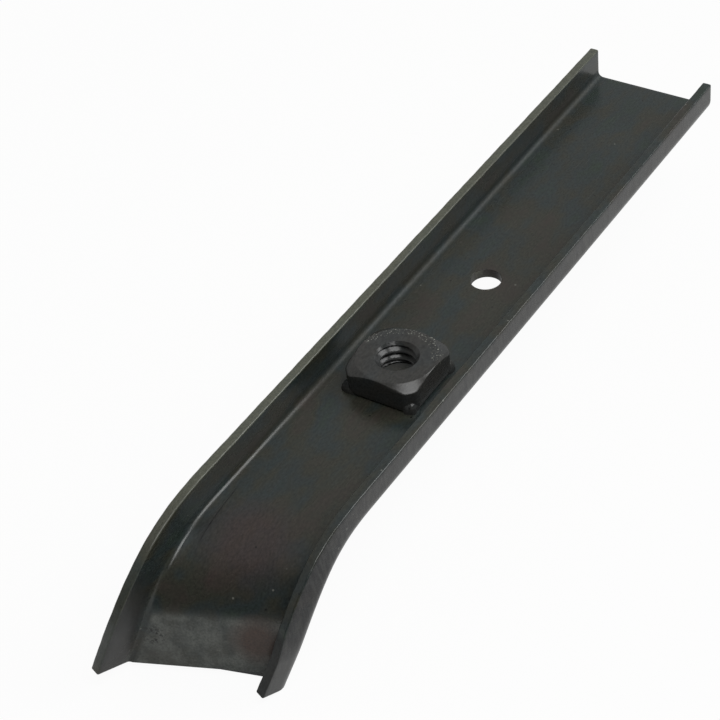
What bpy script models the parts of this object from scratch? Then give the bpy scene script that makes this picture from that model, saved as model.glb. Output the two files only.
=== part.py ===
# L-shaped retainer: a folded channel of black steel sheet with a square nut welded in it.
#
# The sheet has a tall flange on its left, a flat web and a low lip on its right. The long leg
# lies level along X. At its near end the channel folds down round a line that runs askew to
# it, so the short leg also leans to the left. On the way round the tall flange splays outward,
# and the low lip bulges out at its root and closes in over the web.
#
# Frame: metres, +X away from the fold, +Y to the tall flange, +Z out of the web. The origin is
# on the underside of the web, midway between the nut and the plain hole.

import math

import bmesh
import bpy
from mathutils import Vector

# Sheet and its section
SHEET = 0.0015
OUTER_WIDTH = 0.0222
TALL_FLANGE = 0.00665
LOW_LIP = 0.00545
INNER_RADIUS = 0.0009
EDGE_ROUND = 0.00025

# Long leg, from the nut's axis
HOLE_PITCH = 0.0254
HOLE_DIAMETER = 0.0048
FASTENER_OFFSET = -0.00045
NUT_TO_FAR_END = 0.0819

# Fold: where it starts on the centre line, how it is turned, and how it curves
NUT_TO_FOLD = 0.02765
FOLD_SKEW = math.radians(21.9)
FOLD_ANGLE = math.radians(83)
FOLD_RADIUS = 0.0111
FOLD_LEAD_IN = 0.0116
FLANGE_SPLAY = math.radians(35.7)
NEUTRAL_SHARE = 0.44
LIP_CLOSING = math.radians(37)
LIP_BULGE = 0.0007
LIP_EARLINESS = 2

# Short leg, from the end of the fold to the level cut
SHORT_LEG = 0.0065

# Nut
NUT_WIDTH = 0.0122
NUT_HEIGHT = 0.0038
NUT_CORNERS = 0.0152
CHAMFER_ANGLE = math.radians(30)
BORE_DIAMETER = 0.00515
BORE_MOUTH = 0.0066
WELD_RADIUS = 0.0014
WELD_OVERHANG = 0.0008
WELD_FOOT = 0.0002
NUT_SEAT_GAP = 0.0003
SCREW_CLEARANCE = 0.0068

# How far a cutter runs past what it cuts, and how fine the round forms are
CUT_THROUGH = 0.001
CORNER_STEPS = 6
EDGE_STEPS = 2
FOLD_STEPS = 34
INTEGRAL_STEPS = 40
HOLE_SIDES = 48

# Worked out from the sizes above
NUT_X = -HOLE_PITCH / 2
HOLE_X = HOLE_PITCH / 2
FAR_END_X = NUT_X + NUT_TO_FAR_END
FOLD_X = NUT_X - NUT_TO_FOLD
FOLD_LENGTH = FOLD_RADIUS * FOLD_ANGLE + FOLD_LEAD_IN / 2
OUTER_RADIUS = INNER_RADIUS + SHEET
WEB_EDGE = OUTER_WIDTH / 2 - OUTER_RADIUS
WEB_TOP = SHEET


def clear_scene():
    for item in list(bpy.data.objects):
        bpy.data.objects.remove(item, do_unlink=True)


def make_material(name, colour, roughness, metallic):
    material = bpy.data.materials.new(name)
    material.use_nodes = True
    shader = material.node_tree.nodes["Principled BSDF"]
    shader.inputs["Base Color"].default_value = (*colour, 1.0)
    shader.inputs["Roughness"].default_value = roughness
    shader.inputs["Metallic"].default_value = metallic
    return material


def new_object(name, mesh_data, material=None):
    mesh = bpy.data.meshes.new(name)
    bmesh.ops.recalc_face_normals(mesh_data, faces=mesh_data.faces)
    mesh_data.to_mesh(mesh)
    mesh_data.free()
    item = bpy.data.objects.new(name, mesh)
    bpy.context.collection.objects.link(item)
    if material is not None:
        mesh.materials.append(material)
        mesh.shade_smooth()
        mesh.set_sharp_from_angle(angle=math.radians(30))
    return item


def hide_tool(item):
    item.hide_render = True
    item.display_type = "WIRE"


def add_boolean(item, tool, operation):
    modifier = item.modifiers.new(tool.name, "BOOLEAN")
    modifier.operation = operation
    modifier.object = tool
    modifier.solver = "EXACT"


def fold_angle_at(distance):
    # the curvature rises evenly over the lead-in and then stays at one over the radius
    if distance <= 0:
        return 0.0
    if distance < FOLD_LEAD_IN:
        angle = distance ** 2 / (2 * FOLD_LEAD_IN * FOLD_RADIUS)
    else:
        angle = (distance - FOLD_LEAD_IN / 2) / FOLD_RADIUS
    return min(angle, FOLD_ANGLE)


def fold_profile(distance):
    # how far forward and how far down the web has gone, square to the fold line
    if distance <= 0:
        return distance, 0.0
    curved = min(distance, FOLD_LENGTH)
    step = curved / INTEGRAL_STEPS
    angles = [fold_angle_at((index + 0.5) * step) for index in range(INTEGRAL_STEPS)]
    forward = step * sum(math.cos(angle) for angle in angles)
    drop = step * sum(math.sin(angle) for angle in angles)
    straight = distance - curved
    return forward + straight * math.cos(FOLD_ANGLE), drop + straight * math.sin(FOLD_ANGLE)


def folded_frame(x, y):
    # the place on the web's top, the web's normal and the outward direction, for a flat point
    square = Vector((-math.cos(FOLD_SKEW), -math.sin(FOLD_SKEW), 0))
    along = Vector((math.sin(FOLD_SKEW), -math.cos(FOLD_SKEW), 0))
    up = Vector((0, 0, 1))
    flat = Vector((x - FOLD_X, y, 0))
    distance = flat.dot(square)
    angle = fold_angle_at(distance)
    forward, drop = fold_profile(distance)
    place = Vector((FOLD_X, 0, WEB_TOP)) + square * forward + along * flat.dot(along) - up * drop
    normal = square * math.sin(angle) + up * math.cos(angle)
    onward = square * math.cos(angle) - up * math.sin(angle)
    leg = onward * math.cos(FOLD_SKEW) - along * math.sin(FOLD_SKEW)
    return place, normal, leg.cross(normal)


def cut_edge(straight):
    # the sheet's cut edge, rounded at both corners, going across from the inner face
    points = []
    for centre, start in ((EDGE_ROUND, math.pi), (SHEET - EDGE_ROUND, math.pi / 2)):
        for index in range(EDGE_STEPS + 1):
            turn = start - math.pi / 2 * index / EDGE_STEPS
            points.append((centre + EDGE_ROUND * math.cos(turn),
                           straight - EDGE_ROUND + EDGE_ROUND * math.sin(turn)))
    return points


def upstand(height, lean):
    # one side of the section as (across, up) points from the web's edge: the inner face going
    # up, the cut edge, and the outer face coming down to the underside; a side that opens
    # keeps its developed width
    turn_end = math.pi / 2 - lean
    opened = max(lean, 0.0) * (INNER_RADIUS + NEUTRAL_SHARE * SHEET)
    straight = height - SHEET - INNER_RADIUS + opened
    inner = []
    outer = []
    for index in range(CORNER_STEPS + 1):
        turn = turn_end * index / CORNER_STEPS
        inner.append((INNER_RADIUS * math.sin(turn), INNER_RADIUS * (1 - math.cos(turn))))
        outer.append((OUTER_RADIUS * math.sin(turn), INNER_RADIUS - OUTER_RADIUS * math.cos(turn)))
    root = inner[-1]
    cut = []
    for across, rise in cut_edge(straight):
        cut.append((root[0] + across * math.cos(lean) + rise * math.sin(lean),
                    root[1] - across * math.sin(lean) + rise * math.cos(lean)))
    return inner + cut + outer[::-1]


def section(share):
    # the closed outline as (across, up, side), where side is the web edge that a point hangs
    # from; share is how far round the fold the section is, and the lip runs ahead of it
    early = 1 - (1 - share) ** LIP_EARLINESS
    bulge = LIP_BULGE * early
    left = [(across, rise, 1) for across, rise in upstand(TALL_FLANGE, FLANGE_SPLAY * share)]
    right = [(across + bulge, rise, -1)
             for across, rise in upstand(LOW_LIP, -LIP_CLOSING * early)]
    return left + right[::-1]


def station_points(centre_x, skew):
    # one ring of the channel; its two web edges lie on a line turned by the skew
    points = []
    frames = {}
    for side in (1, -1):
        y = side * WEB_EDGE
        frames[side] = folded_frame(centre_x - y * math.tan(skew), y)
    distance = (FOLD_X - centre_x) * math.cos(FOLD_SKEW)
    for across, rise, side in section(fold_angle_at(distance) / FOLD_ANGLE):
        place, normal, outward = frames[side]
        points.append(place + outward * (side * across) + normal * rise)
    return points


def station_list():
    # a square cut at the far end, then rings in line with the fold, and a level cut last
    stations = [(FAR_END_X, 0.0), (FOLD_X, FOLD_SKEW)]
    for index in range(1, FOLD_STEPS + 1):
        distance = FOLD_LENGTH * index / FOLD_STEPS
        stations.append((FOLD_X - distance / math.cos(FOLD_SKEW), FOLD_SKEW))
    last = FOLD_LENGTH + SHORT_LEG
    stations.append((FOLD_X - last / math.cos(FOLD_SKEW), FOLD_SKEW))
    return stations


def make_cylinder(name, diameter, low, high, x):
    # a drill for a hole on the fasteners' line
    mesh_data = bmesh.new()
    bmesh.ops.create_cone(mesh_data, cap_ends=True, segments=HOLE_SIDES, radius1=diameter / 2,
                          radius2=diameter / 2, depth=high - low)
    middle = (x, FASTENER_OFFSET, (low + high) / 2)
    bmesh.ops.translate(mesh_data, verts=mesh_data.verts, vec=middle)
    return new_object(name, mesh_data)


def make_rail(material):
    mesh_data = bmesh.new()
    rings = []
    for centre_x, skew in station_list():
        rings.append([mesh_data.verts.new(point) for point in station_points(centre_x, skew)])
    count = len(rings[0])
    for first, second in zip(rings, rings[1:]):
        for index in range(count):
            after = (index + 1) % count
            mesh_data.faces.new((first[index], first[after], second[after], second[index]))
    mesh_data.faces.new(rings[0])
    mesh_data.faces.new(rings[-1])
    rail = new_object("folded_rail", mesh_data, material)
    for name, diameter, x in (("screw_hole_tool", HOLE_DIAMETER, HOLE_X),
                              ("nut_hole_tool", SCREW_CLEARANCE, NUT_X)):
        tool = make_cylinder(name, diameter, -CUT_THROUGH, WEB_TOP + CUT_THROUGH, x)
        hide_tool(tool)
        add_boolean(rail, tool, "DIFFERENCE")
    return rail


def make_turned(name, profile, x, y, base):
    # a solid of revolution about the vertical, from (radius, height) points on its axis's side
    mesh_data = bmesh.new()
    ring = [mesh_data.verts.new((radius, 0, height)) for radius, height in profile]
    edges = [mesh_data.edges.new(pair) for pair in zip(ring, ring[1:])]
    bmesh.ops.spin(mesh_data, geom=ring + edges, cent=(0, 0, 0), axis=(0, 0, 1),
                   angle=math.tau, steps=HOLE_SIDES, use_duplicate=False)
    bmesh.ops.remove_doubles(mesh_data, verts=mesh_data.verts, dist=0.000001)
    bmesh.ops.translate(mesh_data, verts=mesh_data.verts, vec=(x, y, base))
    return new_object(name, mesh_data)


def make_nut(material):
    foot = WEB_TOP + NUT_SEAT_GAP
    base = foot + WELD_FOOT
    mesh_data = bmesh.new()
    bmesh.ops.create_cube(mesh_data, size=1.0)
    bmesh.ops.scale(mesh_data, verts=mesh_data.verts, vec=(NUT_WIDTH, NUT_WIDTH, NUT_HEIGHT))
    middle = (NUT_X, FASTENER_OFFSET, base + NUT_HEIGHT / 2)
    bmesh.ops.translate(mesh_data, verts=mesh_data.verts, vec=middle)
    nut = new_object("weld_nut", mesh_data, material)

    # the turned blank rounds the four corners and chamfers them on top
    corner = NUT_CORNERS / 2
    flat = NUT_WIDTH / 2
    shoulder = NUT_HEIGHT - (corner - flat) * math.tan(CHAMFER_ANGLE)
    blank = [(0, 0), (corner, 0), (corner, shoulder), (flat, NUT_HEIGHT), (0, NUT_HEIGHT)]
    blank_tool = make_turned("nut_blank_tool", blank, NUT_X, FASTENER_OFFSET, base)
    hide_tool(blank_tool)
    add_boolean(nut, blank_tool, "INTERSECT")

    # weld metal stands out in a low dome at each corner, and is what the nut stands on
    reach = corner + WELD_OVERHANG - WELD_RADIUS
    dome = [(WELD_RADIUS * math.cos(turn), WELD_RADIUS * math.sin(turn))
            for turn in [math.pi / 2 * index / CORNER_STEPS for index in range(CORNER_STEPS)]]
    dome = [(0, 0)] + dome + [(0, WELD_RADIUS)]
    for index in range(4):
        turn = math.pi / 4 + index * math.pi / 2
        x = NUT_X + reach * math.cos(turn)
        y = FASTENER_OFFSET + reach * math.sin(turn)
        weld = make_turned(f"weld_tool_{index + 1}", dome, x, y, foot)
        hide_tool(weld)
        add_boolean(nut, weld, "UNION")

    # the bore opens to its mouth at both ends
    slope = (BORE_MOUTH - BORE_DIAMETER) / 2
    wide = BORE_MOUTH / 2 + CUT_THROUGH
    bore = [(0, -CUT_THROUGH), (wide, -CUT_THROUGH), (BORE_DIAMETER / 2, slope),
            (BORE_DIAMETER / 2, NUT_HEIGHT - slope), (wide, NUT_HEIGHT + CUT_THROUGH),
            (0, NUT_HEIGHT + CUT_THROUGH)]
    bore_tool = make_turned("bore_tool", bore, NUT_X, FASTENER_OFFSET, base)
    hide_tool(bore_tool)
    add_boolean(nut, bore_tool, "DIFFERENCE")
    return nut


def main():
    clear_scene()
    oxide = make_material("black_oxide_sheet", (0.035, 0.034, 0.033), 0.38, 0.6)
    dark = make_material("black_oxide_nut", (0.028, 0.028, 0.027), 0.34, 0.6)
    make_rail(oxide)
    make_nut(dark)


main()
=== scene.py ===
import math

import bmesh
import bpy
import numpy as np
from mathutils import Matrix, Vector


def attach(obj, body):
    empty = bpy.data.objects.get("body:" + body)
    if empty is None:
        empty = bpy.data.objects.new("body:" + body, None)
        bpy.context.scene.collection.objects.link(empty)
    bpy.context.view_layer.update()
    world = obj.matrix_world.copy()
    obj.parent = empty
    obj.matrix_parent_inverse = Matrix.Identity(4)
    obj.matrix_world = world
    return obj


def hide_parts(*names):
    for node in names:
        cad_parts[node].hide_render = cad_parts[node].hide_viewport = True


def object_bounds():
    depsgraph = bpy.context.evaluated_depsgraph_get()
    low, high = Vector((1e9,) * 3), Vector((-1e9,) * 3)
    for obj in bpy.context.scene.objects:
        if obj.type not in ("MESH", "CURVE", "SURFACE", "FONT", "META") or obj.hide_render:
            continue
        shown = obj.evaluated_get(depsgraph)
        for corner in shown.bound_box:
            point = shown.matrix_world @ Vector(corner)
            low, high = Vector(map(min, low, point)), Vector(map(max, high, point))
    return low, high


# L-shaped retainer: a folded channel of black oxide steel with a square nut welded in it
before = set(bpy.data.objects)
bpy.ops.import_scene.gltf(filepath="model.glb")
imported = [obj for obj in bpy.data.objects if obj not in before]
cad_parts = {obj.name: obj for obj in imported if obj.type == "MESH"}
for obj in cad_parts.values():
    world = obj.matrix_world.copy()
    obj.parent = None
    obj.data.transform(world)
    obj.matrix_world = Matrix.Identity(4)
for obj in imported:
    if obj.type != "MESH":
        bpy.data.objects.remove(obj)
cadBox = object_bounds()
print("frame loaded")

mm = 0.001
roundSteps = np.radians([30, 60, 90])     # a small round is drawn in three steps


def turnOutwards(item, merge=0):
    # every face outwards, once points closer than the merge distance are one
    work = bmesh.new()
    work.from_mesh(item.data)
    if merge:
        bmesh.ops.remove_doubles(work, verts=work.verts, dist=merge)
    bmesh.ops.recalc_face_normals(work, faces=work.faces)
    work.to_mesh(item.data)
    work.free()


def addMesh(name, points, faces):
    # points is an (n, 3) array and faces a list of index lists
    mesh = bpy.data.meshes.new(name)
    mesh.from_pydata(points.tolist(), [], faces)
    item = bpy.data.objects.new(name, mesh)
    bpy.context.scene.collection.objects.link(item)
    turnOutwards(item)
    return item


def gridFaces(rows, columns, joinRows=False):
    # the four corners of every cell; the last column joins the first, and so may the last row
    rowCount = rows if joinRows else rows - 1
    row, column = np.meshgrid(np.arange(rowCount), np.arange(columns), indexing="ij")
    below, beside = (row + 1) % rows, (column + 1) % columns
    corners = [row * columns + column, row * columns + beside,
               below * columns + beside, below * columns + column]
    return np.stack(corners, axis=-1).reshape(-1, 4).tolist()


def tubeFaces(rows, columns):
    # closed rings joined in a row, with a flat cap over each end
    last = (rows - 1) * columns
    return gridFaces(rows, columns) + [list(range(columns)), list(range(last, last + columns))]


def tube(name, points):
    return addMesh(name, points.reshape(-1, 3), tubeFaces(*points.shape[:2]))


def turned(name, radii, heights, x, y, steps=96):
    # radius and height along the profile, carried once round the vertical at (x, y)
    turn = np.linspace(0, 2 * np.pi, steps, endpoint=False)
    radii, heights = np.array(radii)[:, None], np.array(heights)[:, None]
    rings = [x + radii * np.cos(turn), y + radii * np.sin(turn), heights + 0 * turn]
    return tube(name, np.stack(rings, axis=-1))


def mark(item, name, values):
    # a number at every point, read by the piece's material
    layer = item.data.attributes.new(name, "FLOAT", "POINT")
    layer.data.foreach_set("value", values.astype(np.float32).ravel())


def applied(item):
    # the mesh with its modifiers worked in
    graph = bpy.context.evaluated_depsgraph_get()
    mesh = bpy.data.meshes.new_from_object(item.evaluated_get(graph))
    item.modifiers.clear()
    item.data = mesh
    return item


def smooth(item, angle):
    # shaded smooth, but for edges sharper than the angle in degrees
    item.data.shade_smooth()
    item.data.set_sharp_from_angle(angle=math.radians(angle))
    return item


# Folded channel: its sheet, section, holes and fold
rail = {
    "sheet": 1.5 * mm,
    "outerWidth": 22.2 * mm,
    "tallFlange": 6.65 * mm,
    "lowLip": 5.45 * mm,
    "innerRadius": 0.9 * mm,
    "edgeRound": 0.25 * mm,
    "endRound": 0.2 * mm,
    "holePitch": 25.4 * mm,
    "holeDiameter": 4.8 * mm,
    "holeRound": 0.06 * mm,
    "nutHoleDiameter": 6.8 * mm,
    "nutHoleRound": 0.04 * mm,
    "fastenerLine": -0.45 * mm,
    "nutToFarEnd": 81.9 * mm,
    "nutToFold": 27.65 * mm,
    "foldSkew": math.radians(21.9),
    "foldAngle": math.radians(83),
    "foldRadius": 11.1 * mm,
    "foldLeadIn": 11.6 * mm,
    "flangeSplay": math.radians(35.7),
    "neutralShare": 0.44,
    "lipClosing": math.radians(37),
    "lipBulge": 0.7 * mm,
    "lipEarliness": 2,
    "shortLeg": 6.5 * mm,
    "edgeWave": 0.03 * mm,      # how much the sheared edges wander up and down
    "tallWaves": (3, (2.3 * mm, 5.1 * mm, 13 * mm)),    # seed and wavelengths
    "lipWaves": (8, (1.9 * mm, 4.3 * mm, 11 * mm)),
    "ringSpacing": 0.6 * mm,
    "foldRings": 1.6,           # how much closer the rings of the fold stand
    "foldTableSteps": 6000,
    "cornerSteps": 10,
    "edgeSteps": 4,
    "wallSteps": 5,
    "webSteps": 28,
    "sharpFrom": 30,            # degrees
    # where a mark begins and over what it comes in, by share of the fold or, for the fillet, x
    "tallEdgeFade": (0, 0.5),
    "tallEdgeLost": 0.7,
    "lipEdgeFrom": (0.78, 0.08),
    "shadedWallFrom": (0.4, 0.4),
    "paintedSheenFrom": (0.82, 0.05),
    "filletFrom": (-34 * mm, 20 * mm),
}


def foldTable():
    # bend angle along the sheet: distance squared over (2 x lead-in x radius) in the lead-in,
    # then (distance - half the lead-in) over the radius; forward and drop are the running
    # integrals of its cosine and sine
    leadIn, radius = rail["foldLeadIn"], rail["foldRadius"]
    length = radius * rail["foldAngle"] + leadIn + rail["shortLeg"]
    distance = np.linspace(0, length, rail["foldTableSteps"] + 1)
    inLeadIn = distance ** 2 / (2 * leadIn * radius)
    angle = np.where(distance < leadIn, inLeadIn, (distance - leadIn / 2) / radius)
    angle = np.minimum(angle, rail["foldAngle"])
    step = distance[1]
    forward = np.concatenate([[0], np.cumsum((np.cos(angle[1:]) + np.cos(angle[:-1])) * step / 2)])
    drop = np.concatenate([[0], np.cumsum((np.sin(angle[1:]) + np.sin(angle[:-1])) * step / 2)])
    return distance, angle, forward, drop


def upstand(height, lean, wave):
    # one side of the section from the web's edge, as (across, up) for every ring: an arc of
    # the inner radius, the inner wall, the rounded cut edge, the outer wall and the outer arc;
    # lean turns the wall outward, where a wall that opens keeps its developed width, and wave
    # is how far the cut edge wanders
    sheet, inner, edge = rail["sheet"], rail["innerRadius"], rail["edgeRound"]
    opened = np.maximum(lean, 0) * (inner + rail["neutralShare"] * sheet)
    straight = height - sheet - inner + opened + wave
    turn = (np.pi / 2 - lean) * np.linspace(0, 1, rail["cornerSteps"] + 1)
    innerAcross, innerUp = inner * np.sin(turn), inner * (1 - np.cos(turn))
    outerAcross, outerUp = (inner + sheet) * np.sin(turn), inner - (inner + sheet) * np.cos(turn)
    wall = (straight - edge) * np.linspace(0, 1, rail["wallSteps"] + 1)
    quarter = np.linspace(np.pi, np.pi / 2, rail["edgeSteps"] + 1)[1:]
    zero = 0 * straight
    across = [wall[:, 1:] * 0, edge + edge * np.cos(quarter) + zero,
              sheet - edge - edge * np.cos(quarter[::-1]) + zero, sheet + wall[:, :0:-1] * 0]
    up = [wall[:, 1:], straight - edge + edge * np.sin(quarter),
          straight - edge + edge * np.sin(quarter[::-1]), wall[:, :0:-1]]
    across, up = np.concatenate(across, axis=1), np.concatenate(up, axis=1)
    rootAcross, rootUp = innerAcross[:, -1:], innerUp[:, -1:]
    wallAcross = rootAcross + across * np.cos(lean) + up * np.sin(lean)
    wallUp = rootUp - across * np.sin(lean) + up * np.cos(lean)
    across = np.concatenate([innerAcross, wallAcross, outerAcross[:, ::-1]], axis=1)
    up = np.concatenate([innerUp, wallUp, outerUp[:, ::-1]], axis=1)
    return across, up


def wander(along, seed, wavelengths):
    # the edge's wander: half a sum of sines of the given wavelengths with seeded phases
    rng = np.random.default_rng(seed)
    phases = rng.uniform(0, 2 * np.pi, len(wavelengths))
    waves = sum(np.sin(2 * np.pi * along / length + phase) for length, phase in zip(wavelengths, phases))
    return rail["edgeWave"] * (waves / 2)


def easeIn(value, start, length):
    # nothing before the start, then evenly up to one over the length
    return np.clip((value - start) / length, 0, 1)


def railRings():
    # every ring of the channel: straight stations from the square far end to the fold line,
    # turning evenly into line with it, then rings in line with the fold down to the level cut
    sheet, skew = rail["sheet"], rail["foldSkew"]
    webEdge = rail["outerWidth"] / 2 - rail["innerRadius"] - sheet
    nutX = -rail["holePitch"] / 2
    farX, foldX = nutX + rail["nutToFarEnd"], nutX - rail["nutToFold"]
    bentLength = rail["foldRadius"] * rail["foldAngle"] + rail["foldLeadIn"] / 2 + rail["shortLeg"]
    straightCount = int((farX - foldX) / rail["ringSpacing"])
    bentCount = int(bentLength / rail["ringSpacing"] * rail["foldRings"])
    straightX = np.linspace(farX, foldX, straightCount)
    bentX = foldX - np.linspace(0, bentLength, bentCount)[1:] / math.cos(skew)
    centreX = np.concatenate([straightX, bentX])[:, None]
    slant = math.tan(skew) * np.clip((farX - centreX) / (farX - foldX), 0, 1)
    bend = (foldX - centreX) * math.cos(skew)
    distance, angle, forward, drop = foldTable()
    share = np.interp(bend, distance, angle) / rail["foldAngle"]
    early = 1 - (1 - share) ** rail["lipEarliness"]
    along = farX - centreX

    # the closed section, by column: half the underside, tall flange, web, low lip and the
    # other half of the underside
    tallWave, lipWave = wander(along, *rail["tallWaves"]), wander(along, *rail["lipWaves"])
    tallAcross, tallUp = upstand(rail["tallFlange"], rail["flangeSplay"] * share, tallWave)
    lipAcross, lipUp = upstand(rail["lowLip"], -rail["lipClosing"] * early, lipWave)
    lipAcross = lipAcross + rail["lipBulge"] * early
    web = np.linspace(webEdge, -webEdge, rail["webSteps"])[None, 1:-1]
    half = np.linspace(0, webEdge, rail["webSteps"] // 2)[None, :-1]
    flat = np.zeros_like(share)
    baseY = [half, webEdge + 0 * tallAcross[:1], web, -webEdge + 0 * lipAcross[:1], -half[:, :0:-1]]
    across = [flat + 0 * half, tallAcross[:, ::-1], flat + 0 * web, -lipAcross, flat + 0 * half[:, 1:]]
    up = [flat + 0 * half - sheet, tallUp[:, ::-1], flat + 0 * web, lipUp, flat + 0 * half[:, 1:] - sheet]
    baseY, across, up = (np.concatenate(parts, axis=1) for parts in (baseY, across, up))

    # carried onto the folded web: place + outward x across + normal x up
    x = centreX - baseY * slant
    square = np.array([-math.cos(skew), -math.sin(skew), 0])
    line = np.array([math.sin(skew), -math.cos(skew), 0])
    upright = np.array([0, 0, 1])
    reach = (x - foldX) * square[0] + baseY * square[1]
    side = (x - foldX) * line[0] + baseY * line[1]
    ahead = np.interp(reach, distance, forward) + np.minimum(reach, 0)
    down = np.interp(reach, distance, drop)
    top = np.array([foldX, 0, sheet])
    place = top + square * ahead[..., None] + line * side[..., None] - upright * down[..., None]
    turn = np.interp(reach, distance, angle)[..., None]
    normal = square * np.sin(turn) + upright * np.cos(turn)
    onward = square * np.cos(turn) - upright * np.sin(turn)
    outward = np.cross(onward * math.cos(skew) - line * math.sin(skew), normal)
    rings = place + outward * across[..., None] + normal * up[..., None]

    # marks for the finish, by ring and column: the two cut edges, of which the tall one fades round the fold
    # and the lip's, darkened as painted shade, comes in past most of it, the lip's outer wall, darkened as
    # painted shade, the tall flange's inner wall, painted shade down the fold, the web on the short leg,
    # lightened as a painted sheen, and the fillet beyond the nut
    edge, inner, outer, wall, none = np.zeros((5, tallAcross.shape[1]))
    edgeFrom = rail["cornerSteps"] + 1 + rail["wallSteps"]
    edgeTo = edgeFrom + 2 * rail["edgeSteps"]
    inner[:rail["cornerSteps"] + 1] = 1
    wall[rail["cornerSteps"] + 1:edgeFrom] = 1
    edge[edgeFrom:edgeTo] = 1
    outer[edgeTo:] = 1

    def spread(tall, middle, lip):
        return np.concatenate([0 * half[0], tall[::-1], middle + 0 * web[0], lip, 0 * half[0, 1:]])[None, :]

    everywhere = 1 + 0 * share
    edgeLeft = 1 - rail["tallEdgeLost"] * easeIn(share, *rail["tallEdgeFade"])
    marks = {
        "tallEdge": spread(edge, 0, none) * edgeLeft,
        "lipEdge": spread(none, 0, edge) * easeIn(share, *rail["lipEdgeFrom"]),
        "lipWall": spread(none, 0, outer) * everywhere,
        "shadedWall": spread(wall, 0, none) * easeIn(share, *rail["shadedWallFrom"]),
        "fillet": spread(inner, 0, none) * easeIn(centreX, *rail["filletFrom"]),
        "paintedSheen": spread(none, 1, none) * easeIn(share, *rail["paintedSheenFrom"]),
        "bore": spread(none, 0, none) * everywhere,
    }
    return rings, marks


def roundEnds(rings):
    # three rings more at each end, drawn in along the ring's own normal by r (1 - cos t) and
    # pushed out by r sin t, so both cut ends have a small round
    radius = rail["endRound"]
    out = [rings]
    for end, before in ((0, 1), (-1, -2)):
        ring = rings[end]
        axis = ring.mean(axis=0) - rings[before].mean(axis=0)
        axis /= np.linalg.norm(axis)
        along = np.roll(ring, -1, axis=0) - np.roll(ring, 1, axis=0)
        inward = np.cross(along, axis)
        inward /= np.linalg.norm(inward, axis=1)[:, None]
        inward *= 1 if end == -1 else -1
        extra = [ring + inward * radius * (1 - math.cos(t)) + axis * radius * (math.sin(t) - 1)
                 for t in roundSteps]
        rings[end] -= axis * radius
        if end == 0:
            out.insert(0, np.array(extra[::-1]))
        else:
            out.append(np.array(extra))
    return np.concatenate(out)


def drill(item, name, diameter, rim, x, y, low, high, steps=6):
    # a drill that widens by a rounded quarter turn at both faces of the sheet, and stands out
    # of them by one millimetre
    radius = diameter / 2
    turn = np.linspace(0, np.pi / 2, steps)
    flare, rise = rim * (1 - np.cos(turn)), rim * np.sin(turn)
    radii = [radius + rim, *(radius + flare[::-1]), *(radius + flare), radius + rim]
    heights = [low - mm, *(low + rim - rise[::-1]), *(high - rim + rise), high + mm]
    tool = turned(name, radii, heights, x, y)
    # the drill's walls carry the bore mark, painted shade in the holes
    mark(tool, "bore", np.ones(len(tool.data.vertices)))
    cut = item.modifiers.new(name, "BOOLEAN")
    cut.operation, cut.object, cut.solver = "DIFFERENCE", tool, "EXACT"
    bpy.context.view_layer.update()
    applied(item)
    bpy.data.objects.remove(tool)


def makeRail():
    rings, marks = railRings()
    item = tube("foldedRail", roundEnds(rings))
    more = len(roundSteps)
    for name, values in marks.items():
        mark(item, name, np.pad(values, ((more, more), (0, 0)), "edge"))
    half = rail["holePitch"] / 2
    for name, diameter, rim, x in (("screwHole", rail["holeDiameter"], rail["holeRound"], half),
                                   ("nutHole", rail["nutHoleDiameter"], rail["nutHoleRound"], -half)):
        drill(item, name, diameter, rim, x, rail["fastenerLine"], 0, rail["sheet"])
    smooth(item, rail["sharpFrom"])
    even = item.modifiers.new("evenNormals", "WEIGHTED_NORMAL")
    even.keep_sharp = True
    return applied(item)


# Square weld nut, quarter-inch coarse thread
nut = {
    "width": 12.2 * mm,
    "cornerDiameter": 15.2 * mm,
    "squareness": 26,           # how sharply the square's sides meet
    "cornerCrispness": 60.0,    # how sharply the turned corners meet the sides
    "bottom": 1.75 * mm,
    "top": 5.8 * mm,
    "topShare": 0.985,          # radius of the flat top over half the width
    "chamfer": math.radians(30),
    "rimRound": 0.12 * mm,
    "threadMajor": 6.3 * mm,
    "threadMinor": 5.15 * mm,
    "threadPitch": 1.27 * mm,
    "threadStart": 0.39,        # of a turn
    "flankSlope": 1.5,
    "rootShare": 0.25,
    "boreMouth": 6.6 * mm,
    "turnSteps": 320,
    "undersideRows": 5,
    "sideRows": 6,
    "chamferRows": (0.06, 0.2, 0.4, 0.6, 0.8, 0.94, 1),
    "topRows": 11,
    "boreRows": 110,
    "merge": 0.002 * mm,
    "sharpFrom": 35,            # degrees
    "wornFrom": 0.8,            # radius over half the width
    "wornDepth": 0.3 * mm,
    "wornTurn": math.radians(5),
    "wornSpread": 0.2,
    # how much painted shade the threads take, and how far in and down it starts
    "boreMark": 0.08,
    "boreMarkIn": 0.35 * mm,    # in from the mouth's radius
    "boreMarkDown": 0.4 * mm,
}


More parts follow.
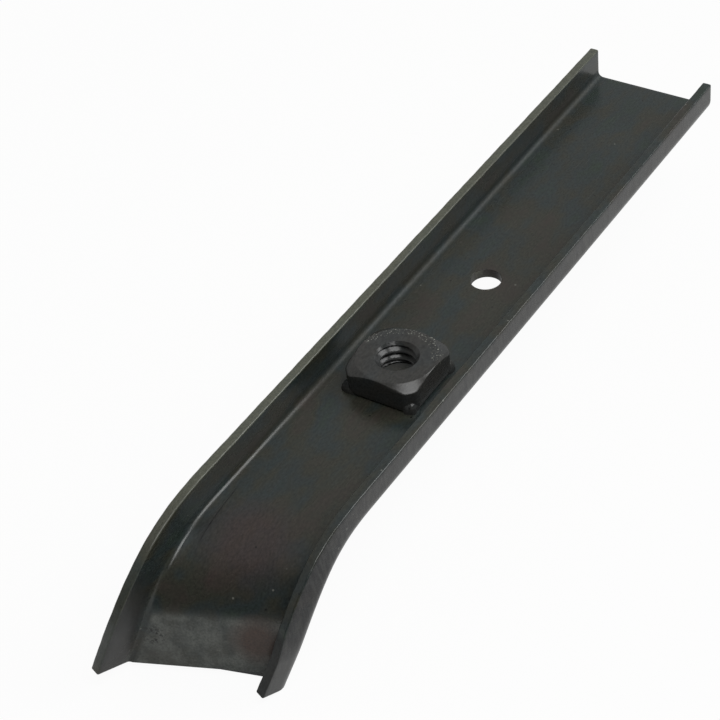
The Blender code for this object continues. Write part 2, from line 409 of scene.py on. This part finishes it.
def makeNut():
    # a loop of profile rows at every turn angle: underside, side, chamfer, top and threaded
    # bore; the outer radius is the square's, half width over the p-th root of |cos| to the p
    # plus |sin| to the p, and goes softly over into the circle that the corners are turned to
    turn = np.linspace(0, 2 * np.pi, nut["turnSteps"], endpoint=False)
    flat, corner = nut["width"] / 2, nut["cornerDiameter"] / 2
    low, high = nut["bottom"], nut["top"]
    power, crisp = nut["squareness"], nut["cornerCrispness"]
    squareRadius = flat / (np.abs(np.cos(turn)) ** power + np.abs(np.sin(turn)) ** power) ** (1 / power)
    outer = (squareRadius ** -crisp + corner ** -crisp) ** (-1 / crisp)
    topRadius = flat * nut["topShare"]
    shoulder = high - np.maximum(outer - topRadius, 0) * math.tan(nut["chamfer"])
    rim = nut["rimRound"]
    mouth = nut["boreMouth"] / 2
    rows = []
    for share in np.linspace(0, 1, nut["undersideRows"]):
        rows.append((mouth + (outer - rim - mouth) * share, low))
    for t in roundSteps:
        rows.append((outer - rim + rim * math.sin(t), low + rim * (1 - math.cos(t))))
    for share in np.linspace(0, 1, nut["sideRows"] + 1)[1:]:
        rows.append((outer, low + rim + (shoulder - rim / 2 - low - rim) * share))
    for share in nut["chamferRows"]:
        rows.append((outer + (topRadius - outer) * share, shoulder + (high - shoulder) * share))
    for share in np.linspace(0, 1, nut["topRows"] + 1)[1:]:
        rows.append((topRadius + (mouth + rim - topRadius) * share, high))

    # the thread: radius between minor and major by a trapezoid wave of height over pitch minus
    # the turn, widened to the mouth's 45 degree cone near each face
    height = np.linspace(high, low, nut["boreRows"])[:, None]
    phase = (height / nut["threadPitch"] - turn / (2 * np.pi) - nut["threadStart"]) % 1
    ridge = np.clip(np.abs(phase - 0.5) * 2 * nut["flankSlope"] - nut["rootShare"], 0, 1)
    minor, major = nut["threadMinor"] / 2, nut["threadMajor"] / 2
    thread = major + (minor - major) * ridge
    cone = mouth - np.minimum(high - height, height - low)
    rows += zip(np.maximum(thread, cone), height)
    radii = np.array([radius + 0 * turn for radius, level in rows])
    heights = np.array([level + 0 * turn for radius, level in rows])
    x = -rail["holePitch"] / 2 + radii * np.cos(turn)
    y = rail["fastenerLine"] + radii * np.sin(turn)
    points = np.stack([x, y, heights], axis=-1)
    item = addMesh("weldNut", points.reshape(-1, 3), gridFaces(*points.shape[:2], joinRows=True))

    # worn: one round the far rim of the top; bore: painted shade in the threads, a little below the mouth's
    # cone
    onRim = (radii > flat * nut["wornFrom"]) & (heights > high - nut["wornDepth"])
    farSide = np.cos(turn - nut["wornTurn"]) > nut["wornSpread"]
    inBore = (radii < mouth - nut["boreMarkIn"]) & (heights < high - nut["boreMarkDown"])
    mark(item, "worn", (onRim & farSide).astype(float))
    mark(item, "bore", nut["boreMark"] * inBore)
    turnOutwards(item, nut["merge"])
    return smooth(item, nut["sharpFrom"])


# Weld metal at the nut's four corners
weld = {
    "radius": 1.4 * mm,
    "overhang": 0.8 * mm,
    "height": 1.75 * mm,
    "sink": 0.05 * mm,          # how far the feet go into the web
    "lumps": 0.14,
    "waves": (2, 3, 5, 7),      # lumps round the foot
    "climbingWaves": 3,
    "climbingLumps": 0.4,
    "phases": 6,                # each wave starts at up to this, in radians
    "heightChange": (0.85, 1.05),
    "firstSeed": 40,
    "rings": 14,
    "steps": 40,
    "sharpFrom": 50,            # degrees
}


def makeWelds():
    # four lumpy domes: rings whose radius falls as the cosine of the climb while their height
    # grows as its sine, with the radius swelled by a few seeded waves round it and up it
    reach = nut["cornerDiameter"] / 2 + weld["overhang"] - weld["radius"]
    parts, faces, start = [], [], 0
    turn = np.linspace(0, 2 * np.pi, weld["steps"], endpoint=False)
    climb = np.linspace(0, np.pi / 2, weld["rings"] + 1)[:-1, None]
    for index in range(4):
        rng = np.random.default_rng(weld["firstSeed"] + index)
        lumps = 0
        for count in weld["waves"]:
            foot = rng.uniform(-1, 1) * np.sin(count * turn + rng.uniform(0, weld["phases"])) / count ** 0.5
            share = rng.uniform(-weld["climbingLumps"], weld["climbingLumps"])
            phase = rng.uniform(0, weld["phases"])
            lumps = lumps + (foot + share * np.sin(weld["climbingWaves"] * climb + phase))
        radius = weld["radius"] * (1 + weld["lumps"] * lumps) * np.cos(climb)
        rise = weld["height"] * np.sin(climb) * rng.uniform(*weld["heightChange"])
        around = math.pi / 4 + index * math.pi / 2
        x = -rail["holePitch"] / 2 + reach * math.cos(around) + radius * np.cos(turn)
        y = rail["fastenerLine"] + reach * math.sin(around) + radius * np.sin(turn)
        z = rail["sheet"] - weld["sink"] + rise + 0 * turn
        rings = np.stack([x, y, z], axis=-1)
        faces += [[corner + start for corner in cell] for cell in tubeFaces(*rings.shape[:2])]
        parts.append(rings.reshape(-1, 3))
        start += len(parts[-1])
    return smooth(addMesh("cornerWelds", np.concatenate(parts), faces), weld["sharpFrom"])


def linear(code):
    # an sRGB hex colour as linear red, green, blue and alpha
    values = [int(code[start:start + 2], 16) / 255 for start in (1, 3, 5)]
    values = [value / 12.92 if value <= 0.04045 else ((value + 0.055) / 1.055) ** 2.4 for value in values]
    return (*values, 1.0)


def addNode(material, kind, values=None, out=0):
    # values are properties of the node, or its inputs by name or number, where a socket is
    # linked; gives the output socket that is asked for
    tree = material.node_tree
    node = tree.nodes.new(kind)
    for key, value in (values or {}).items():
        if not isinstance(key, int) and key not in node.inputs:
            setattr(node, key, value)
        elif isinstance(value, bpy.types.NodeSocket):
            tree.links.new(value, node.inputs[key])
        else:
            node.inputs[key].default_value = value
    return node.outputs[out] if node.outputs else None


def span(value, low, high, start, end):
    # what a map range node needs to turn low to high into start to end
    return {"Value": value, "From Min": low, "From Max": high, "To Min": start, "To Max": end}


# Black oxide on cold-rolled mild steel, oiled: a near-black skin of magnetite that carries a faint brown,
# green and blue bloom, a satin gloss, a fine rolled grain, small specks and thin lengthwise scratches; the
# tall flange's sheared edge is paler, less so round the fold
blackOxide = {
    "neutral": "#2d2e27",
    "brown": "#362b29",
    "green": "#273129",
    "blue": "#272e2e",
    "pale": "#56584c",      # cut edge of the tall flange
    "paintedShade": "#101010",      # painted shade on the lip's cut edge, the tall flange's inner wall and in the bores
    "bare": "#8d8e86",      # down to the steel
    "pit": "#0e0e0e",
    "paintedLipShade": "#1b1a1e",     # outer wall of the lip, darker: painted shade
    "paintedSheen": "#5b5e5a",   # web of the short leg, lighter: painted sheen
    "rust": "#43322a",
    "bloomStops": ((0.26, "green"), (0.42, "blue"), (0.56, "neutral"), (0.92, "brown")),
    "patterns": {  # patch size, detail, stretch along x, offset; noise from, to, becomes from, to
        "bloom": (5 * mm, 2.5, 1.8, 0.0, 0.3, 0.7, -0.04, 0.06),     # added to the roughness
        "tears": (2.5 * mm, 3.0, 0.16, 0.3, 0.4, 0.62, 0.0, 1.0),
        # patches of the painted sheen on the short leg's web
        "sheenPatches": (3 * mm, 4.0, 1.0, 0.5, 0.4, 0.6, 0.35, 0.95),
        "flakes": (0.5 * mm, 2.0, 1.0, 0.6, 0.52, 0.58, 0.0, 1.0),
        "grain": (0.3 * mm, 3.0, 2.0, 0.0, 0.3, 0.7, 0.7, 1.3),
        "shade": (16 * mm, 2.0, 1.0, 0.4, 0.35, 0.65, 0.93, 1.07),
        "scratches": (0.11 * mm, 1.0, 60.0, 0.7, 0.70, 0.74, 0.0, 1.0),
        "ticks": (0.25 * mm, 2.0, 1.0, 0.2, 0.35, 0.65, 0.45, 1.0),
        "chips": (0.28 * mm, 2.0, 1.0, 0.9, 0.60, 0.66, 0.0, 1.0),
    },
    "patternRoughness": 0.6,
    # shares of the painted shade on the lip's outer wall, of its tears and of the painted shade on the tall
    # flange's inner wall
    "lipShadeCover": 0.8,
    "tearCover": 0.07,
    "wallShadeCover": 0.8,
    "spots": (  # middle, reach, colour, share and whether ragged
        ((-49.5 * mm, 0.8 * mm, 0.5 * mm), 8.5 * mm, "brown", 0.7, False),
        ((-56.9 * mm, -4.0 * mm, -9.6 * mm), 4.6 * mm, "rust", 0.95, False),
        ((-62.4 * mm, 9.6 * mm, -9.8 * mm), 2.2 * mm, "pit", 0.9, True),
        ((-58.6 * mm, -6.9 * mm, -4.0 * mm), 1.5 * mm, "bare", 0.5, True),
    ),
    "spotCore": 0.4,        # share of the reach that is full
    "speckCell": 2.4 * mm,
    "specks": (0.08, 0.048),    # outer and full radius over the cell
    "lightSpecks": (0.55, 0.6, 0.35),   # which cells have them, and how strong
    "darkSpecks": (0.45, 0.4, 0.8),
    "scratches": 0.06,
    "scoredStart": 11.03 * mm,  # y at x = 0 of the scored line
    "scoredSlope": 0.0755,
    "scoredWidth": (0.06 * mm, 0.16 * mm),
    "scoredFrom": (-53.5 * mm, -52 * mm),
    "scoredTo": (-43 * mm, -41.5 * mm),
    "scoredGrain": (0.4, 0.6, 0.3, 0.9),
    "roughness": 0.24,
    "dulling": 0.3,         # roughness added on the lip's edge, the fillet and in the bores
    "specular": 0.42,
    "indexOfRefraction": 1.5,
    "bump": 0.2,
    "bumpDepth": 0.03 * mm,
    "speckDepth": 0.6,
}

# The nut's oxide is greyer and glossier, with a stronger grain and no lengthwise scratches
nutOxide = {
    **blackOxide,
    "neutral": "#343432",
    "brown": "#353232",
    "green": "#323431",
    "blue": "#323434",
    "roughness": 0.18,
    "specular": 0.31,
    "bump": 0.3,
    "scratches": 0.0,
}


def makeOxide(name, finish):
    material = bpy.data.materials.new(name)
    material.use_nodes = True
    material.node_tree.nodes.clear()
    place = addNode(material, "ShaderNodeTexCoord", None, "Object")
    x, y = addNode(material, "ShaderNodeSeparateXYZ", {0: place}).node.outputs[:2]

    # every noise pattern as it comes and as it is used, and the marks that the points carry
    noise, pattern, marked = {}, {}, {}
    for key, (size, detail, stretch, offset, *change) in finish["patterns"].items():
        drawn = addNode(material, "ShaderNodeMapping",
                        {0: place, "Scale": (1 / stretch, 1, 1), "Location": (offset, offset, offset)})
        noise[key] = addNode(material, "ShaderNodeTexNoise",
                             {"Vector": drawn, "Scale": 1 / size, "Detail": detail,
                              "Roughness": finish["patternRoughness"]}, "Fac")
        pattern[key] = addNode(material, "ShaderNodeMapRange", span(noise[key], *change))
    for key in ("tallEdge", "lipEdge", "lipWall", "shadedWall", "fillet", "paintedSheen", "worn", "bore"):
        marked[key] = addNode(material, "ShaderNodeAttribute", {"attribute_name": key}, "Fac")

    # bloom: patches some 9 mm long drawn out lengthwise
    colour = addNode(material, "ShaderNodeValToRGB", {"Fac": noise["bloom"]})
    stops = colour.node.color_ramp.elements
    while len(stops) < len(finish["bloomStops"]):
        stops.new(0.5)
    for stop, (position, shade) in zip(stops, finish["bloomStops"]):
        stop.position, stop.color = position, linear(finish[shade])

    # layers over the bloom, each with the masks that multiply and the colour or pattern that they let in;
    # first the lip's outer wall, darkened as painted shade, with faint tears of the shear, painted shade on
    # the tall flange's inner wall down the fold and a painted sheen in patches on the web of the short leg,
    # then the spots, the grain and the broad shade
    layers = [
        ([marked["lipWall"], finish["lipShadeCover"]], "paintedLipShade"),
        ([marked["lipWall"], pattern["tears"], finish["tearCover"]], "bare"),
        ([marked["shadedWall"], finish["wallShadeCover"]], "paintedShade"),
        ([marked["paintedSheen"], pattern["sheenPatches"]], "paintedSheen"),
    ]
    for middle, reach, shade, share, ragged in finish["spots"]:
        away = addNode(material, "ShaderNodeVectorMath",
                       {"operation": "DISTANCE", 0: place, 1: middle}, "Value")
        core = finish["spotCore"] * reach
        spot = addNode(material, "ShaderNodeMapRange", span(away, core, reach, share, 0.0))
        layers.append(([spot, pattern["flakes"]] if ragged else [spot], shade))
    layers += [([1.0], pattern["grain"]), ([1.0], pattern["shade"])]

    # specks of bare steel in some cells and pits in others, then the scratches
    cells = addNode(material, "ShaderNodeTexVoronoi",
                    {"Vector": place, "Scale": 1 / finish["speckCell"]}).node.outputs
    kind = addNode(material, "ShaderNodeSeparateColor", {0: cells["Color"]})
    outerSpeck, fullSpeck = finish["specks"]
    speck = addNode(material, "ShaderNodeMapRange",
                    span(cells["Distance"], outerSpeck, fullSpeck, 0.0, 1.0))
    for (fromKind, toKind, share), shade in ((finish["lightSpecks"], "bare"), (finish["darkSpecks"], "pit")):
        chosen = addNode(material, "ShaderNodeMapRange", span(kind, fromKind, toKind, 0.0, 1.0))
        layers.append(([speck, chosen, share], shade))
    layers.append(([pattern["scratches"], finish["scratches"]], "bare"))

    # one scored line on the web beside the tall flange: its distance is y - slope times x
    # less its start, and it fades in and out along x
    sideways = addNode(material, "ShaderNodeMath",
                       {"operation": "MULTIPLY_ADD", 0: x, 1: -finish["scoredSlope"], 2: y})
    sideways = addNode(material, "ShaderNodeMath",
                       {"operation": "SUBTRACT", 0: sideways, 1: finish["scoredStart"]})
    sideways = addNode(material, "ShaderNodeMath", {"operation": "ABSOLUTE", 0: sideways})
    changes = (span(sideways, *finish["scoredWidth"], 1.0, 0.0), span(x, *finish["scoredTo"], 1.0, 0.0),
               span(x, *finish["scoredFrom"], 0.0, 1.0), span(noise["grain"], *finish["scoredGrain"]))
    layers.append(([addNode(material, "ShaderNodeMapRange", change) for change in changes], "pit"))

    # cut edges with ticks of the shear across them, the lip's in painted shade, chips on the nut's far rim,
    # and painted shade in the bores
    layers += [
        ([marked["tallEdge"], pattern["ticks"]], "pale"),
        ([marked["lipEdge"], pattern["ticks"]], "paintedShade"),
        ([marked["worn"], pattern["chips"]], "bare"),
        ([marked["bore"]], "paintedShade"),
    ]
    for masks, shade in layers:
        share = masks[0]
        for mask in masks[1:]:
            share = addNode(material, "ShaderNodeMath", {"operation": "MULTIPLY", 0: share, 1: mask})
        isColour = isinstance(shade, str)
        colour = addNode(material, "ShaderNodeMix",
                         {"data_type": "RGBA", "blend_type": "MIX" if isColour else "MULTIPLY",
                          0: share, 6: colour, 7: linear(finish[shade]) if isColour else shade}, 2)

    # roughness by the bloom, and duller where the marks say so; the bump is grain and specks
    gloss = addNode(material, "ShaderNodeMath",
                    {"operation": "ADD", 0: pattern["bloom"], 1: finish["roughness"]})
    rough = addNode(material, "ShaderNodeMath",
                    {"operation": "MAXIMUM", 0: marked["lipEdge"], 1: marked["fillet"]})
    rough = addNode(material, "ShaderNodeMath", {"operation": "ADD", 0: marked["bore"], 1: rough})
    gloss = addNode(material, "ShaderNodeMath",
                    {"operation": "MULTIPLY_ADD", 0: rough, 1: finish["dulling"], 2: gloss})
    height = addNode(material, "ShaderNodeMath",
                     {"operation": "MULTIPLY_ADD", 0: speck, 1: -finish["speckDepth"], 2: noise["grain"]})
    bump = addNode(material, "ShaderNodeBump",
                   {"Height": height, "Strength": finish["bump"], "Distance": finish["bumpDepth"]})
    shader = addNode(material, "ShaderNodeBsdfPrincipled",
                     {"Base Color": colour, "Roughness": gloss, "Normal": bump,
                      "IOR": finish["indexOfRefraction"], "Specular IOR Level": finish["specular"]})
    addNode(material, "ShaderNodeOutputMaterial", {"Surface": shader})
    return material


sheetFinish = makeOxide("blackOxideSheet", blackOxide)
nutFinish = makeOxide("blackOxideNut", nutOxide)
print("finishes made")

railPiece = makeRail()
print("rail made", len(railPiece.data.polygons))
nutPiece = makeNut()
weldPiece = makeWelds()
print("nut and welds made", len(nutPiece.data.polygons), len(weldPiece.data.polygons))

for piece, finish, slot, nodes in ((railPiece, sheetFinish, "black_sheet", ["folded_rail"]),
                                   (nutPiece, nutFinish, "black_nut", ["weld_nut"]),
                                   (weldPiece, nutFinish, "black_nut", [])):
    piece.data.materials.clear()
    piece.data.materials.append(finish)
    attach(piece, "root")
    if nodes:
        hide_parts(*nodes)

# Studio: a pale floor under the short leg's tip, a grey room darker behind the camera, and
# two softboxes
studio = {
    "floorSize": 6.0,
    "floorColour": "#d0d0ce",
    "floorGlow": 0.95,          # share of plain white that the camera sees
    "floorShine": 0.25,         # the same share in reflections, where the shadow shows more
    "ceiling": 0.455,
    "behind": 0.10,
    "ahead": (0.8, 0.6, 0.0),   # the way that the camera looks, on the level
    "darkening": (-0.35, 0.25),     # share along that way where it is darkest and where it ends
    "boxes": (  # place, width and height in metres, and strength in watts
        ((-0.13, -0.30, 0.70), (0.44, 0.42), 3.4),
        ((0.55, -0.57, 0.68), (0.50, 0.56), 4.4),
    ),
}


def makeFloor():
    low = cadBox[0][2]
    half = studio["floorSize"] / 2
    corners = np.array([(-half, -half, low), (half, -half, low), (half, half, low), (-half, half, low)])
    item = addMesh("paleFloor", corners, [[0, 1, 2, 3]])
    material = bpy.data.materials.new("paleFloorPaint")
    material.use_nodes = True
    material.node_tree.nodes.clear()
    ray = addNode(material, "ShaderNodeLightPath").node.outputs
    shone = addNode(material, "ShaderNodeMath",
                    {"operation": "MAXIMUM", 0: ray["Is Glossy Ray"], 1: ray["Is Transmission Ray"]})
    shone = addNode(material, "ShaderNodeMath", {"operation": "MULTIPLY", 0: shone, 1: studio["floorShine"]})
    share = addNode(material, "ShaderNodeMath", {"operation": "MULTIPLY_ADD", 0: ray["Is Camera Ray"],
                                                 1: studio["floorGlow"], 2: shone})
    paint = addNode(material, "ShaderNodeBsdfDiffuse", {"Color": linear(studio["floorColour"])})
    glow = addNode(material, "ShaderNodeEmission", {"Strength": 1.0})
    mix = addNode(material, "ShaderNodeMixShader", {0: share, 1: paint, 2: glow})
    addNode(material, "ShaderNodeOutputMaterial", {"Surface": mix})
    item.data.materials.append(material)


def makeWorld():
    # a grey room that darkens behind the camera, by the direction's share along the view on
    # the level; the camera itself sees plain white
    world = bpy.data.worlds.new("studioRoom")
    bpy.context.scene.world = world
    world.use_nodes = True
    world.node_tree.nodes.clear()
    place = addNode(world, "ShaderNodeTexCoord", None, "Generated")
    facing = addNode(world, "ShaderNodeVectorMath",
                     {"operation": "DOT_PRODUCT", 0: place, 1: studio["ahead"]}, "Value")
    level = addNode(world, "ShaderNodeMapRange",
                    {**span(facing, *studio["darkening"], studio["behind"], studio["ceiling"]),
                     "interpolation_type": "SMOOTHSTEP"})
    ray = addNode(world, "ShaderNodeLightPath", None, "Is Camera Ray")
    strength = addNode(world, "ShaderNodeMix", {"data_type": "FLOAT", 0: ray, 2: level, 3: 1.0})
    back = addNode(world, "ShaderNodeBackground", {"Color": (1, 1, 1, 1), "Strength": strength})
    addNode(world, "ShaderNodeOutputWorld", {"Surface": back})


def makeLights():
    for index, (place, size, power) in enumerate(studio["boxes"]):
        light = bpy.data.lights.new(f"softbox{index + 1}", "AREA")
        light.shape, light.energy = "RECTANGLE", power
        light.size, light.size_y = size
        item = bpy.data.objects.new(light.name, light)
        bpy.context.scene.collection.objects.link(item)
        item.location = place
        aim = -item.location.normalized()
        item.rotation_euler = aim.to_track_quat("-Z", "Y").to_euler()


# Camera at the photograph's angle: place and turn in the part's own frame
view = {
    "place": (-208.994 * mm, -138.244 * mm, 209.808 * mm),
    "azimuth": math.radians(36.3423),
    "fall": math.radians(40.3922),
    "roll": math.radians(6.5316),
    "lens": 109.785,
    "sensor": 36,
    "clip": (0.01, 50),
}


def makeCamera():
    camera = bpy.data.cameras.new("studioCamera")
    camera.lens, camera.sensor_width = view["lens"], view["sensor"]
    camera.clip_start, camera.clip_end = view["clip"]
    item = bpy.data.objects.new("studioCamera", camera)
    bpy.context.scene.collection.objects.link(item)
    azimuth, fall, roll = view["azimuth"], view["fall"], view["roll"]
    level = math.cos(fall)
    ahead = np.array([level * math.cos(azimuth), level * math.sin(azimuth), -math.sin(fall)])
    side = np.cross(ahead, (0, 0, 1))
    side /= np.linalg.norm(side)
    below = np.cross(ahead, side)
    right = math.cos(roll) * side + math.sin(roll) * below
    down = -math.sin(roll) * side + math.cos(roll) * below
    turn = Matrix(np.stack([right, -down, -ahead], axis=1).tolist()).to_4x4()
    turn.translation = view["place"]
    item.matrix_world = turn
    bpy.context.scene.camera = item


makeFloor()
makeWorld()
makeLights()
makeCamera()
bpy.context.scene.view_settings.view_transform = "Standard"
print("studio and camera made")

bpy.context.view_layer.update()
